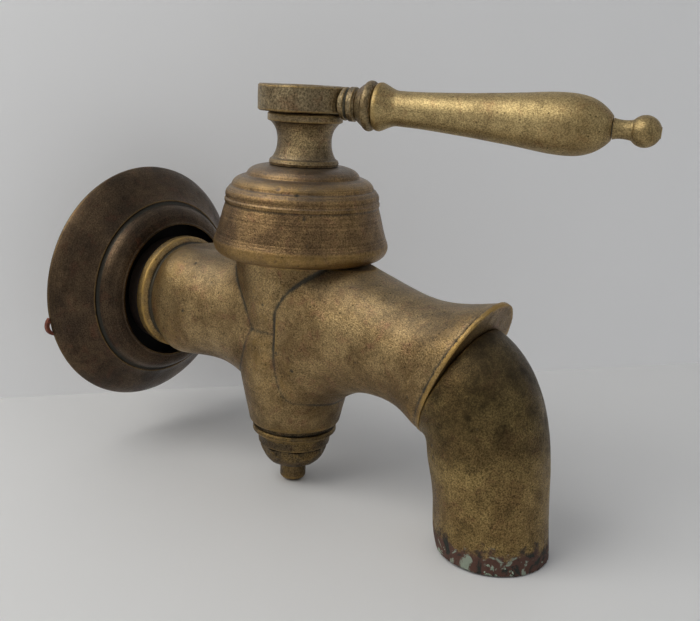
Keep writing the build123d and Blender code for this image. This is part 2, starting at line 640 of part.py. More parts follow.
with BuildPart() as plug_nut:
    with BuildSketch(Plane.XY.offset(NUT_LOW)):
        with Locations((AXIS_X, 0)):
            RegularPolygon(radius=NUT_R, side_count=8)
    extrude(amount=THRUST_LOW - NUT_LOW)
    with BuildSketch(PLUG_PLANE):
        with BuildLine():
            Polyline((STUD_R, THRUST_LOW), (16.6, THRUST_LOW), (16.6, -61.6))
            Spline((16.6, -61.6), (14.9, -65.6), (12.6, -68.6), (9.4, NUT_LOW))
            Polyline((9.4, NUT_LOW), (STUD_R, NUT_LOW), (STUD_R, THRUST_LOW))
        make_face()
    revolve(axis=PLUG_AXIS, mode=Mode.INTERSECT)
keep(plug_nut, "plug_nut")
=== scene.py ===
"""Looks for an old cast-bronze plug cock: a wall tap with a rosette, a lever and a turned-down spout."""

import math

import bmesh
import bpy
import numpy as np
from mathutils import Matrix, Vector
from mathutils.bvhtree import BVHTree


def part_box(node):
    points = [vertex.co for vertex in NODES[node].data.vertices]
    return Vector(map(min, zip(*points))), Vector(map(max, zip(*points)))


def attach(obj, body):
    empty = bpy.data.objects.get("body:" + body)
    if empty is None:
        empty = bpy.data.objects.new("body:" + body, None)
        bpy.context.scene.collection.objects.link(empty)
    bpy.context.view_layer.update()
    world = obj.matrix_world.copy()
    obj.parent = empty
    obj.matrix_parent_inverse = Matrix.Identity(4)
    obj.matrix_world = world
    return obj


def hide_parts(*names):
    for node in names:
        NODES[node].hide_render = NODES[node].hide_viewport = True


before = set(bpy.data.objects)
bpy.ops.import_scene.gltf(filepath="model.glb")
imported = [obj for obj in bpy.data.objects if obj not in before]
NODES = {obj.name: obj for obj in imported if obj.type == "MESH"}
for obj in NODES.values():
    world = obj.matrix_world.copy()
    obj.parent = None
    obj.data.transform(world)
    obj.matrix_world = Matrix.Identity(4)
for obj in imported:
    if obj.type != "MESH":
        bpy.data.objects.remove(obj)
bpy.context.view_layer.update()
MM = 0.001

# The tap's three turning axes, as in the part
CAP_LOW, CAP_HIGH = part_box("dome_cap")
PLUG_X = (CAP_LOW.x + CAP_HIGH.x) / 2
LEVER_BEARING = math.radians(17.0)
LEVER_DROOP = math.radians(1.6)
LEVER_Z = 101.3 * MM
LEVER_DIR = Vector((
    math.cos(LEVER_DROOP) * math.cos(LEVER_BEARING),
    math.cos(LEVER_DROOP) * math.sin(LEVER_BEARING),
    -math.sin(LEVER_DROOP),
))
UP = Vector((0, 0, 1))
OUT = Vector((1, 0, 0))
PLUG_TURN = (Vector((PLUG_X, 0, 0)), UP)
WALL_TURN = (Vector((0, 0, 0)), OUT)
SEED = 7.0
FLAKE_SEED = 3
LEVER_TURN = (Vector((PLUG_X, 0, LEVER_Z)), LEVER_DIR)


# ---------------------------------------------------------------- materials

RUBBED_GOLD_AND_HIGHLIGHT = "#b08f52"  # bronze rubbed bright where it stands proud, and painted highlight on those edges
JOINT_DIRT = "#1c1f17"  # black-green dirt in hollows and joints
HOLE_BLACK = "#15130e"  # inside of a blow hole
HOLE_SPACING = 4.2  # millimetres between the drawn blow holes
CLOUD_SOFTNESS = 0.22  # how quickly brown turns to rubbed gold in the cloud noise


def linear(colour):
    """sRGB hex to linear RGBA."""
    channels = [int(colour[i:i + 2], 16) / 255 for i in (1, 3, 5)]
    return (*[c / 12.92 if c <= 0.04045 else ((c + 0.055) / 1.055) ** 2.4 for c in channels], 1.0)


def add(tree, kind, links=None, **settings):
    """A node with its settings, its values and its links."""
    made = tree.nodes.new(kind)
    for key, value in settings.items():
        setattr(made, key, value)
    for socket, source in (links or {}).items():
        if isinstance(source, bpy.types.NodeSocket):
            tree.links.new(source, made.inputs[socket])
        else:
            made.inputs[socket].default_value = source
    return made


def per_mm(size):
    """Noise scale for a pattern whose features are this many millimetres across."""
    return 1.0 / (size * MM)


def aged_bronze(
    name, brown, gold, dark, red, dust_and_sheen_colour, turn,
    cloud=17.0, cloud_from=0.40, grain=0.62, speckle=0.5, dust_and_sheen_share=0.5, wear_and_highlight=0.8, grime=0.9,
    rough=0.40, lines=0.0, line_mm=0.9, bump=0.26, pits=0.6, low=None, crust=None,
):
    """Old bronze handled and cleaned for a century: brown patina rubbed to gold where it stands proud, with
    painted highlight on those edges, black-green dirt in the hollows, a dull grey film with painted sheen on top
    and the grain of the sand it was cast in."""
    material = bpy.data.materials.new(name)
    material.use_nodes = True
    tree = material.node_tree
    tree.nodes.clear()
    coords = add(tree, "ShaderNodeTexCoord")
    where = coords.outputs["Object"]
    edge = add(tree, "ShaderNodeAttribute", attribute_name="edge").outputs["Fac"]
    # clouds of brown and rubbed gold, a few centimetres across
    clouds = add(tree, "ShaderNodeTexNoise", {
        "Vector": where, "Scale": per_mm(cloud), "Detail": 4.0, "Roughness": 0.6})
    cloudy = add(tree, "ShaderNodeMapRange", {
        "Value": clouds.outputs["Fac"], "From Min": cloud_from, "From Max": cloud_from + CLOUD_SOFTNESS})
    colour = add(tree, "ShaderNodeMix", {
        0: cloudy.outputs["Result"], 6: linear(brown), 7: linear(gold)}, data_type="RGBA").outputs[2]
    # copper-red blotches where zinc has leached out, 6 mm across
    blotch = add(tree, "ShaderNodeTexNoise", {
        "Vector": where, "Scale": per_mm(7.0), "Detail": 3.0, "Roughness": 0.7, "Distortion": 0.6})
    reddish = add(tree, "ShaderNodeMapRange", {
        "Value": blotch.outputs["Fac"], "From Min": 0.54, "From Max": 0.74, "To Max": 0.6})
    colour = add(tree, "ShaderNodeMix", {
        0: reddish.outputs["Result"], 6: colour, 7: linear(red)}, data_type="RGBA").outputs[2]
    # darker oxide in patches 10 mm across
    patch = add(tree, "ShaderNodeTexNoise", {
        "Vector": where, "Scale": per_mm(10.0), "Detail": 6.0, "Roughness": 0.72, "Distortion": 0.3})
    patchy = add(tree, "ShaderNodeMapRange", {
        "Value": patch.outputs["Fac"], "From Min": 0.50, "From Max": 0.72, "To Max": 0.5})
    colour = add(tree, "ShaderNodeMix", {
        0: patchy.outputs["Result"], 6: colour, 7: linear(dark)}, data_type="RGBA").outputs[2]
    # casting grain: light and dark specks of the sand it was cast in
    sand = add(tree, "ShaderNodeTexNoise", {
        "Vector": where, "Scale": per_mm(grain), "Detail": 2.5, "Roughness": 0.75})
    specks = add(tree, "ShaderNodeMapRange", {
        "Value": sand.outputs["Fac"], "From Min": 0.36, "From Max": 0.64,
        "To Min": 1.0 - 1.1 * speckle, "To Max": 1.0 + 1.5 * speckle})
    colour = add(tree, "ShaderNodeMix", {
        0: 1.0, 6: colour, 7: specks.outputs["Result"]}, data_type="RGBA", blend_type="MULTIPLY").outputs[2]
    height = sand.outputs["Fac"]
    # turning lines round the axis the piece was turned on
    if lines > 0:
        origin, axis = turn
        spin = axis.to_track_quat("Z", "Y").to_euler()
        local = add(tree, "ShaderNodeMapping", {
            "Vector": where, "Location": origin, "Rotation": spin}, vector_type="TEXTURE")
        flat = add(tree, "ShaderNodeVectorMath", {
            0: local.outputs["Vector"], 1: (1, 1, 0)}, operation="MULTIPLY")
        out = add(tree, "ShaderNodeVectorMath", {0: flat.outputs[0]}, operation="LENGTH")
        along = add(tree, "ShaderNodeSeparateXYZ", {0: local.outputs["Vector"]})
        lathe = add(tree, "ShaderNodeCombineXYZ", {0: out.outputs["Value"], 2: along.outputs[2]})
        ribs = add(tree, "ShaderNodeTexNoise", {
            "Vector": lathe.outputs[0], "Scale": per_mm(line_mm), "Detail": 2.0, "Roughness": 0.8})
        striped = add(tree, "ShaderNodeMapRange", {
            "Value": ribs.outputs["Fac"], "From Min": 0.35, "From Max": 0.65,
            "To Min": 1.0 - 0.5 * lines, "To Max": 1.0 + 0.6 * lines})
        colour = add(tree, "ShaderNodeMix", {
            0: 1.0, 6: colour, 7: striped.outputs["Result"]},
            data_type="RGBA", blend_type="MULTIPLY").outputs[2]
        cut = add(tree, "ShaderNodeMath", {0: ribs.outputs["Fac"], 1: lines}, operation="MULTIPLY")
        height = add(tree, "ShaderNodeMath", {0: height, 1: cut.outputs[0]}, operation="ADD").outputs[0]
    # grey film of dust and old polish on what faces up, with painted sheen: the tops are painted lighter grey
    facing = add(tree, "ShaderNodeSeparateXYZ", {0: coords.outputs["Normal"]})
    upward = add(tree, "ShaderNodeMapRange", {"Value": facing.outputs[2], "From Min": 0.35, "From Max": 0.95})
    upward_dust_and_sheen = add(tree, "ShaderNodeMath", {0: upward.outputs["Result"], 1: dust_and_sheen_share}, operation="MULTIPLY")
    dust_and_sheen = add(tree, "ShaderNodeMath", {0: upward_dust_and_sheen.outputs[0], 1: patch.outputs["Fac"]}, operation="MULTIPLY")
    colour = add(tree, "ShaderNodeMix", {
        0: dust_and_sheen.outputs[0], 6: colour, 7: linear(dust_and_sheen_colour)}, data_type="RGBA").outputs[2]
    # edges rubbed bright, and painted highlight on the proud edges
    proud = add(tree, "ShaderNodeMapRange", {"Value": edge, "From Min": 0.035, "From Max": 0.20})
    rub_and_highlight_strength = add(tree, "ShaderNodeMapRange", {
        "Value": blotch.outputs["Fac"], "From Min": 0.30, "From Max": 0.55, "To Min": 0.25, "To Max": wear_and_highlight})
    edge_rub_and_highlight = add(tree, "ShaderNodeMath", {
        0: proud.outputs["Result"], 1: rub_and_highlight_strength.outputs["Result"]}, operation="MULTIPLY")
    colour = add(tree, "ShaderNodeMix", {
        0: edge_rub_and_highlight.outputs[0], 6: colour, 7: linear(RUBBED_GOLD_AND_HIGHLIGHT)}, data_type="RGBA").outputs[2]
    # black-green dirt in hollows and joints
    sunk = add(tree, "ShaderNodeMapRange", {
        "Value": edge, "From Min": -0.03, "From Max": -0.16, "To Max": grime})
    colour = add(tree, "ShaderNodeMix", {
        0: sunk.outputs["Result"], 6: colour, 7: linear(JOINT_DIRT)}, data_type="RGBA").outputs[2]
    # blow holes from the casting, black and under a millimetre wide
    holes = add(tree, "ShaderNodeTexVoronoi", {
        "Vector": where, "Scale": per_mm(HOLE_SPACING), "Randomness": 1.0})
    hole = add(tree, "ShaderNodeMapRange", {
        "Value": holes.outputs["Distance"], "From Min": 0.07, "From Max": 0.13,
        "To Min": pits, "To Max": 0.0})
    colour = add(tree, "ShaderNodeMix", {
        0: hole.outputs["Result"], 6: colour, 7: linear(HOLE_BLACK)}, data_type="RGBA").outputs[2]
    dull = add(tree, "ShaderNodeMath", {
        0: sunk.outputs["Result"], 1: dust_and_sheen.outputs[0]}, operation="MAXIMUM")
    metal = add(tree, "ShaderNodeMapRange", {
        "Value": dull.outputs[0], "To Min": 1.0, "To Max": 0.35}).outputs[0]
    # painted shade, darker and duller from one height to another: under the nozzle's collar and towards the
    # bottom of the body
    if low is not None:
        top, bottom, share = low
        height_z = add(tree, "ShaderNodeSeparateXYZ", {0: where})
        height_shade = add(tree, "ShaderNodeMapRange", {
            "Value": height_z.outputs[2], "From Min": top * MM, "From Max": bottom * MM, "To Max": share})
        patchy_height_shade = add(tree, "ShaderNodeMath", {
            0: height_shade.outputs["Result"], 1: patch.outputs["Fac"]}, operation="MULTIPLY")
        height_shade_mask = add(tree, "ShaderNodeMath", {
            0: patchy_height_shade.outputs[0], 1: 1.7}, operation="MULTIPLY", use_clamp=True)
        colour = add(tree, "ShaderNodeMix", {
            0: height_shade_mask.outputs[0], 6: colour, 7: linear(dark)}, data_type="RGBA").outputs[2]
    uneven = add(tree, "ShaderNodeMapRange", {
        "Value": patch.outputs["Fac"], "From Min": 0.3, "From Max": 0.7,
        "To Min": rough - 0.08, "To Max": rough + 0.16}).outputs[0]
    if crust is not None:
        colour, metal, uneven, height = crust(tree, where, patch, sand, colour, metal, uneven, height)
    relief = add(tree, "ShaderNodeBump", {"Height": height, "Distance": bump * MM, "Strength": 1.0})
    surface = add(tree, "ShaderNodeBsdfPrincipled", {
        "Base Color": colour, "Metallic": metal, "Roughness": uneven, "Normal": relief.outputs[0]})
    output = add(tree, "ShaderNodeOutputMaterial")
    tree.links.new(surface.outputs[0], output.inputs[0])
    return material


def mouth_crust(tree, where, patch, sand, colour, metal, rough, height):
    """Corrosion round the mouth: copper-red bare patches, pale verdigris and a black-green crust."""
    at = add(tree, "ShaderNodeSeparateXYZ", {0: where})
    ragged = add(tree, "ShaderNodeTexNoise", {
        "Vector": where, "Scale": per_mm(6.5), "Detail": 5.0, "Roughness": 0.65})
    lifted = add(tree, "ShaderNodeMath", {
        0: ragged.outputs["Fac"], 1: 22.0 * MM, 2: -76.5 * MM}, operation="MULTIPLY_ADD")
    under = add(tree, "ShaderNodeMath", {0: lifted.outputs[0], 1: at.outputs[2]}, operation="SUBTRACT")
    band = add(tree, "ShaderNodeMapRange", {
        "Value": under.outputs[0], "From Min": -1.2 * MM, "From Max": 2.2 * MM})
    colour = add(tree, "ShaderNodeMix", {
        0: band.outputs["Result"], 6: colour, 7: linear("#54372c")}, data_type="RGBA").outputs[2]
    flake = add(tree, "ShaderNodeTexNoise", {
        "Vector": where, "Scale": per_mm(8.0), "Detail": 5.0, "Roughness": 0.62, "Distortion": 0.8})
    pale = add(tree, "ShaderNodeMapRange", {
        "Value": flake.outputs["Fac"], "From Min": 0.57, "From Max": 0.61})
    paled = add(tree, "ShaderNodeMath", {
        0: pale.outputs["Result"], 1: band.outputs["Result"]}, operation="MULTIPLY")
    colour = add(tree, "ShaderNodeMix", {
        0: paled.outputs[0], 6: colour, 7: linear("#8d9686")}, data_type="RGBA").outputs[2]
    black = add(tree, "ShaderNodeMapRange", {
        "Value": flake.outputs["Fac"], "From Min": 0.49, "From Max": 0.44})
    blacked = add(tree, "ShaderNodeMath", {
        0: black.outputs["Result"], 1: band.outputs["Result"]}, operation="MULTIPLY")
    colour = add(tree, "ShaderNodeMix", {
        0: blacked.outputs[0], 6: colour, 7: linear("#23261f")}, data_type="RGBA").outputs[2]
    metal = add(tree, "ShaderNodeMix", {0: band.outputs["Result"], 2: metal, 3: 0.15}).outputs[0]
    rough = add(tree, "ShaderNodeMix", {0: band.outputs["Result"], 2: rough, 3: 0.75}).outputs[0]
    raised = add(tree, "ShaderNodeMath", {
        0: flake.outputs["Fac"], 1: band.outputs["Result"]}, operation="MULTIPLY")
    height = add(tree, "ShaderNodeMath", {
        0: raised.outputs[0], 1: 3.0, 2: height}, operation="MULTIPLY_ADD").outputs[0]
    return colour, metal, rough, height


def plain_matter(name, base, other, patch_mm, grain_mm, rough, metallic, bump):
    """Two colours broken up by noise, for the small and hidden pieces."""
    material = bpy.data.materials.new(name)
    material.use_nodes = True
    tree = material.node_tree
    tree.nodes.clear()
    where = add(tree, "ShaderNodeTexCoord").outputs["Object"]
    patch = add(tree, "ShaderNodeTexNoise", {"Vector": where, "Scale": per_mm(patch_mm), "Detail": 4.0})
    grain = add(tree, "ShaderNodeTexNoise", {
        "Vector": where, "Scale": per_mm(grain_mm), "Detail": 3.0, "Roughness": 0.7})
    both = add(tree, "ShaderNodeMath", {
        0: patch.outputs["Fac"], 1: grain.outputs["Fac"]}, operation="MULTIPLY")
    share = add(tree, "ShaderNodeMapRange", {"Value": both.outputs[0], "From Min": 0.16, "From Max": 0.34})
    colour = add(tree, "ShaderNodeMix", {
        0: share.outputs["Result"], 6: linear(base), 7: linear(other)}, data_type="RGBA")
    uneven = add(tree, "ShaderNodeMapRange", {
        "Value": patch.outputs["Fac"], "To Min": rough - 0.1, "To Max": rough + 0.1})
    relief = add(tree, "ShaderNodeBump", {
        "Height": grain.outputs["Fac"], "Distance": bump * MM, "Strength": 1.0})
    surface = add(tree, "ShaderNodeBsdfPrincipled", {
        "Base Color": colour.outputs[2], "Metallic": metallic, "Roughness": uneven.outputs["Result"],
        "Normal": relief.outputs[0]})
    output = add(tree, "ShaderNodeOutputMaterial")
    tree.links.new(surface.outputs[0], output.inputs[0])
    return material


# Sand-cast bronze of the body: golden-brown, grained, with a grey film and painted sheen on top of the spout
# branch, and painted shade towards the bottom
CAST_BRONZE = aged_bronze(
    "sand_cast_bronze", "#725d3f", "#97805a", "#3f3323", "#7a5442", "#938d80", PLUG_TURN,
    speckle=0.44, dust_and_sheen_share=0.45, grime=0.85, low=(-25.0, -48.0, 0.5))
# The nozzle's bronze is darkest under the collar, which is painted shade, golden lower down, pitted and crusted
# at its mouth
NOZZLE_BRONZE = aged_bronze(
    "sand_cast_bronze_nozzle", "#745f3d", "#968053", "#352c1d", "#6b4b37", "#8b877c", PLUG_TURN,
    cloud=22.0, speckle=0.52, dust_and_sheen_share=0.4, low=(-44.0, -14.0, 0.85), crust=mouth_crust)
# Turned bronze of the cap: fine lines round the skirt
CAP_BRONZE = aged_bronze(
    "turned_bronze", "#67523a", "#896f4c", "#372d20", "#6d4c3b", "#96918a", PLUG_TURN,
    lines=0.5, speckle=0.42, dust_and_sheen_share=0.6, rough=0.36)
# The neck was turned and then left dull and brown
NECK_BRONZE = aged_bronze(
    "turned_bronze_neck", "#75654c", "#9a8560", "#3b3324", "#74533f", "#8f8a80", PLUG_TURN,
    lines=0.25, speckle=0.52, cloud_from=0.44, rough=0.36)
# Cast hub and boss: strongly grained, dull
HUB_BRONZE = aged_bronze(
    "cast_lever_bronze", "#75664e", "#978768", "#433a2b", "#74573f", "#a09a8c", LEVER_TURN,
    speckle=0.46, grain=0.85, dust_and_sheen_share=0.35)
# Grip: smoothed by hands, golden with dark specks
GRIP_BRONZE = aged_bronze(
    "hand_worn_bronze", "#8f7b56", "#ad986b", "#55472f", "#8a6949", "#a8a294", LEVER_TURN,
    speckle=0.36, rough=0.44, cloud=26.0, cloud_from=0.36, bump=0.14, dust_and_sheen_share=0.1)
# Rosette: thick dark-brown to black patina with red in it
ROSETTE_BRASS = aged_bronze(
    "dark_patinated_brass", "#3f342a", "#594938", "#221d18", "#573b2e", "#4f4a42", WALL_TURN,
    cloud=24.0, speckle=0.36, lines=0.22, dust_and_sheen_share=0.2, wear_and_highlight=0.6, rough=0.36, bump=0.14, pits=0.2)
# Washer, thrust collar and nut under the barrel: a darker bronze
LOW_BRONZE = aged_bronze(
    "leak_darkened_bronze", "#4f4434", "#75613f", "#1e1d17", "#604433", "#4a4a40", PLUG_TURN,
    cloud=9.0, speckle=0.6, dust_and_sheen_share=0.2, wear_and_highlight=0.95, rough=0.45, cloud_from=0.45)
# Brass of the threaded tail: cleaner, with cut lines
THREAD_BRASS = aged_bronze(
    "threaded_brass", "#8a744a", "#b09a66", "#4a3e2a", "#7d5a44", "#8f8a7f", WALL_TURN,
    lines=0.3, line_mm=0.6, speckle=0.25, dust_and_sheen_share=0.3, bump=0.06)
# Lapped bronze of the plug: even grey-gold where it runs in the barrel
PLUG_BRONZE = aged_bronze(
    "lapped_bronze", "#4f4433", "#6d5a3e", "#1f1d16", "#55402f", "#6b675c", PLUG_TURN,
    lines=0.2, line_mm=0.5, speckle=0.5, dust_and_sheen_share=0.1, bump=0.2)
# Screw head: rubbed by the screwdriver, brighter than the hub round it
SCREW_BRASS = aged_bronze(
    "brass_screw", "#7c6844", "#a98f5b", "#3d3423", "#76543f", "#a09a8c", PLUG_TURN,
    lines=0.3, line_mm=0.5, speckle=0.4, dust_and_sheen_share=0.4, bump=0.06)
# Backing plate in the rosette's hole: all but black, dull, a dark sheet of painted shade so that the hole reads
# as a dark gap
HOLE_SHADE_BLACK = plain_matter("blackened_iron", "#100f0d", "#1d1815", 4.0, 0.6, 0.75, 0.3, 0.08)
# Leather washers: dark and fibrous
LEATHER = plain_matter("oiled_leather", "#1d1510", "#33251a", 3.0, 0.5, 0.7, 0.0, 0.1)
# Wire loop: pink-brown rust
RUSTY_WIRE = plain_matter("rusty_iron_wire", "#4a2a20", "#8a4a35", 1.2, 0.3, 0.8, 0.25, 0.12)
# Pin and tang: grey, slightly stained
STEEL = plain_matter("bare_steel", "#6a6762", "#8d8a84", 2.0, 0.3, 0.4, 1.0, 0.03)
# Verdigris: pale copper salts, chalky
VERDIGRIS = plain_matter("verdigris_flakes", "#5f6b5a", "#a9b3a0", 1.6, 0.4, 0.85, 0.0, 0.15)


# ---------------------------------------------------------------- geometry nodes

def new_tree(name, inputs):
    """A geometry node group with named inputs."""
    tree = bpy.data.node_groups.new(name, "GeometryNodeTree")
    tree.interface.new_socket("Geometry", in_out="INPUT", socket_type="NodeSocketGeometry")
    for label, kind in inputs:
        tree.interface.new_socket(label, in_out="INPUT", socket_type=kind)
    tree.interface.new_socket("Geometry", in_out="OUTPUT", socket_type="NodeSocketGeometry")
    return tree, tree.nodes.new("NodeGroupInput"), tree.nodes.new("NodeGroupOutput")


def founders_surface():
    """Unevenness of a cast or hand-finished surface: broad swells, sand grain and blow holes, all inwards."""
    tree, given, result = new_tree("founders_surface", [
        ("Swell Depth", "NodeSocketFloat"), ("Swell Size", "NodeSocketFloat"),
        ("Grain Depth", "NodeSocketFloat"), ("Grain Size", "NodeSocketFloat"),
        ("Hole Depth", "NodeSocketFloat"), ("Hole Spacing", "NodeSocketFloat"),
        ("Seed", "NodeSocketFloat"), ("Material", "NodeSocketMaterial")])
    place = add(tree, "GeometryNodeInputPosition")
    normal = add(tree, "GeometryNodeInputNormal")
    swell_scale = add(tree, "ShaderNodeMath", {0: 1.0, 1: given.outputs["Swell Size"]}, operation="DIVIDE")
    swell = add(tree, "ShaderNodeTexNoise", {
        "Vector": place.outputs[0], "W": given.outputs["Seed"],
        "Scale": swell_scale.outputs[0], "Detail": 1.5},
        noise_dimensions="4D")
    grain_scale = add(tree, "ShaderNodeMath", {0: 1.0, 1: given.outputs["Grain Size"]}, operation="DIVIDE")
    grain = add(tree, "ShaderNodeTexNoise", {
        "Vector": place.outputs[0], "W": given.outputs["Seed"],
        "Scale": grain_scale.outputs[0], "Detail": 1.0},
        noise_dimensions="4D")
    hole_scale = add(tree, "ShaderNodeMath", {0: 1.0, 1: given.outputs["Hole Spacing"]}, operation="DIVIDE")
    hole = add(tree, "ShaderNodeTexVoronoi", {
        "Vector": place.outputs[0], "W": given.outputs["Seed"], "Scale": hole_scale.outputs[0]},
        voronoi_dimensions="4D")
    near = add(tree, "ShaderNodeMapRange", {
        "Value": hole.outputs["Distance"], "From Min": 0.08, "From Max": 0.20, "To Min": 1.0, "To Max": 0.0})
    a = add(tree, "ShaderNodeMath", {
        0: swell.outputs[0], 1: given.outputs["Swell Depth"]}, operation="MULTIPLY")
    b = add(tree, "ShaderNodeMath", {
        0: grain.outputs[0], 1: given.outputs["Grain Depth"], 2: a.outputs[0]}, operation="MULTIPLY_ADD")
    c = add(tree, "ShaderNodeMath", {
        0: near.outputs[0], 1: given.outputs["Hole Depth"], 2: b.outputs[0]}, operation="MULTIPLY_ADD")
    inwards = add(tree, "ShaderNodeMath", {0: c.outputs[0], 1: -1.0}, operation="MULTIPLY")
    offset = add(tree, "ShaderNodeVectorMath", {
        0: normal.outputs[0], "Scale": inwards.outputs[0]}, operation="SCALE")
    moved = add(tree, "GeometryNodeSetPosition", {
        "Geometry": given.outputs["Geometry"], "Offset": offset.outputs[0]})
    real = add(tree, "GeometryNodeRealizeInstances", {0: moved.outputs[0]})
    painted = add(tree, "GeometryNodeSetMaterial", {
        "Geometry": real.outputs[0], "Material": given.outputs["Material"]})
    tree.links.new(painted.outputs[0], result.inputs[0])
    return tree


def flake_crust():
    """Verdigris flakes scattered over what lies below a height, thickest in noisy patches."""
    tree, given, result = new_tree("flake_crust", [
        ("Below Height", "NodeSocketFloat"), ("Flakes Per Area", "NodeSocketFloat"),
        ("Flake Size", "NodeSocketFloat"), ("Seed", "NodeSocketInt"), ("Material", "NodeSocketMaterial")])
    place = add(tree, "GeometryNodeInputPosition")
    at = add(tree, "ShaderNodeSeparateXYZ", {0: place.outputs[0]})
    patch = add(tree, "ShaderNodeTexNoise", {"Vector": place.outputs[0], "Scale": per_mm(7.0), "Detail": 2.0})
    thick = add(tree, "ShaderNodeMapRange", {"Value": patch.outputs[0], "From Min": 0.50, "From Max": 0.62})
    low = add(tree, "FunctionNodeCompare", {
        0: at.outputs[2], 1: given.outputs["Below Height"]}, operation="LESS_THAN")
    many = add(tree, "ShaderNodeMath", {
        0: thick.outputs[0], 1: given.outputs["Flakes Per Area"]}, operation="MULTIPLY")
    points = add(tree, "GeometryNodeDistributePointsOnFaces", {
        "Mesh": given.outputs["Geometry"], "Selection": low.outputs[0], "Density": many.outputs[0],
        "Seed": given.outputs["Seed"]})
    ball = add(tree, "GeometryNodeMeshIcoSphere", {"Radius": given.outputs["Flake Size"], "Subdivisions": 2})
    lump = add(tree, "ShaderNodeTexNoise", {"Vector": place.outputs[0], "Scale": per_mm(0.8)})
    shift = add(tree, "ShaderNodeVectorMath", {
        0: lump.outputs["Color"], 1: (0.5, 0.5, 0.5)}, operation="SUBTRACT")
    size = add(tree, "ShaderNodeVectorMath", {0: shift.outputs[0], "Scale": 0.0007}, operation="SCALE")
    ragged = add(tree, "GeometryNodeSetPosition", {"Geometry": ball.outputs[0], "Offset": size.outputs[0]})
    scale = add(tree, "FunctionNodeRandomValue", {
        0: (0.35, 0.35, 0.12), 1: (1.5, 1.1, 0.32), "Seed": given.outputs["Seed"]}, data_type="FLOAT_VECTOR")
    spread = add(tree, "GeometryNodeInstanceOnPoints", {
        "Points": points.outputs["Points"], "Instance": ragged.outputs[0],
        "Rotation": points.outputs["Rotation"], "Scale": scale.outputs[0]})
    real = add(tree, "GeometryNodeRealizeInstances", {0: spread.outputs[0]})
    painted = add(tree, "GeometryNodeSetMaterial", {
        "Geometry": real.outputs[0], "Material": given.outputs["Material"]})
    tree.links.new(painted.outputs[0], result.inputs[0])
    return tree


FOUNDERS_SURFACE = founders_surface()
FLAKE_CRUST = flake_crust()


def apply_tree(piece, tree, **values):
    """Run a geometry node group on a piece and keep the plain mesh."""
    modifier = piece.modifiers.new(tree.name, "NODES")
    modifier.node_group = tree
    for item in tree.interface.items_tree:
        label = item.name.lower().replace(" ", "_")
        if item.in_out == "INPUT" and label in values:
            modifier[item.identifier] = values[label]
    bake_down(piece)


def bake_down(piece):
    """Replace a piece's mesh by its evaluated one and drop the modifiers."""
    bpy.context.view_layer.update()
    graph = bpy.context.evaluated_depsgraph_get()
    mesh = bpy.data.meshes.new_from_object(piece.evaluated_get(graph), depsgraph=graph)
    piece.modifiers.clear()
    piece.data = mesh


# ---------------------------------------------------------------- mesh builders

def link(name, mesh):
    """A new object at the origin for a mesh."""
    piece = bpy.data.objects.new(name, mesh)
    bpy.context.scene.collection.objects.link(piece)
    return piece


def merged(node):
    """The node's triangles as one joined bmesh."""
    shell = bmesh.new()
    shell.from_mesh(NODES[node].data)
    bmesh.ops.remove_doubles(shell, verts=shell.verts, dist=0.002 * MM)
    return shell


def outline(node, turn):
    """Half section of a turned node as (along, out) points, and whether it closes on itself."""
    origin, axis = turn
    side = Vector((0, 0, 1)) if abs(axis.z) < 0.5 else Vector((0, -1, 0))
    side = (side - axis * side.dot(axis)).normalized()
    shell = merged(node)
    everything = shell.verts[:] + shell.edges[:] + shell.faces[:]
    cut = bmesh.ops.bisect_plane(
        shell, geom=everything, dist=1e-7, plane_co=origin, plane_no=axis.cross(side), clear_outer=True)
    shell.verts.index_update()
    ties = {}
    for edge in cut["geom_cut"]:
        if isinstance(edge, bmesh.types.BMEdge):
            a, b = edge.verts
            ties.setdefault(a.index, set()).add(b.index)
            ties.setdefault(b.index, set()).add(a.index)
    shell.verts.ensure_lookup_table()
    places = {i: shell.verts[i].co.copy() for i in ties}
    shell.free()
    loops = []
    left = set(ties)
    while left:
        walk = [min(left)]
        left.discard(walk[0])
        while True:
            ahead = sorted(n for n in ties[walk[-1]] if n in left)
            if not ahead:
                break
            walk.append(ahead[0])
            left.discard(ahead[0])
        loops.append([((places[i] - origin).dot(axis), (places[i] - origin).dot(side)) for i in walk])
    loops = [loop for loop in loops if len(loop) > 3]
    # the wanted half is the loop that reaches farthest out, then the one that lies farthest out on average
    loop = np.array(max(loops, key=lambda points: (
        sum(r for _, r in points) / len(points) + 10 * max(r for _, r in points))))
    if loop[:, 1].min() > -1e-5:
        return loop, True
    first = int(np.argmin(loop[:, 1]))
    loop = np.roll(loop, -first, axis=0)
    kept = []
    for a, b in zip(loop, np.roll(loop, -1, axis=0)):
        if a[1] >= 0:
            kept.append(a)
        if (a[1] < 0) != (b[1] < 0):
            share = a[1] / (a[1] - b[1])
            kept.append(np.array((a[0] + share * (b[0] - a[0]), 0.0)))
    return np.array(kept), False


def eased(points, closed, step, ease):
    """An outline with its corners cut a little and its long runs divided into steps."""
    count = len(points)
    fine = []
    for i in range(count):
        here = points[i]
        if not closed and i in (0, count - 1):
            fine.append(here)
            continue
        before = points[i - 1] - here
        after = points[(i + 1) % count] - here
        long_before = np.linalg.norm(before)
        long_after = np.linalg.norm(after)
        if min(long_before, long_after) < 1e-6:
            continue
        turn = -np.dot(before, after) / (long_before * long_after)
        if turn < 0.9:
            back = here + before / long_before * min(ease, long_before * 0.45)
            forth = here + after / long_after * min(ease, long_after * 0.45)
            fine += [back, (back + forth + 2 * here) / 4, forth]
        else:
            fine.append(here)
    ring = fine + [fine[0]] if closed else fine
    spaced = []
    for a, b in zip(ring[:-1], ring[1:]):
        parts = max(1, int(math.ceil(np.linalg.norm(b - a) / step)))
        spaced += [a + (b - a) * k / parts for k in range(parts)]
    if not closed:
        spaced.append(ring[-1])
    return np.array(spaced)


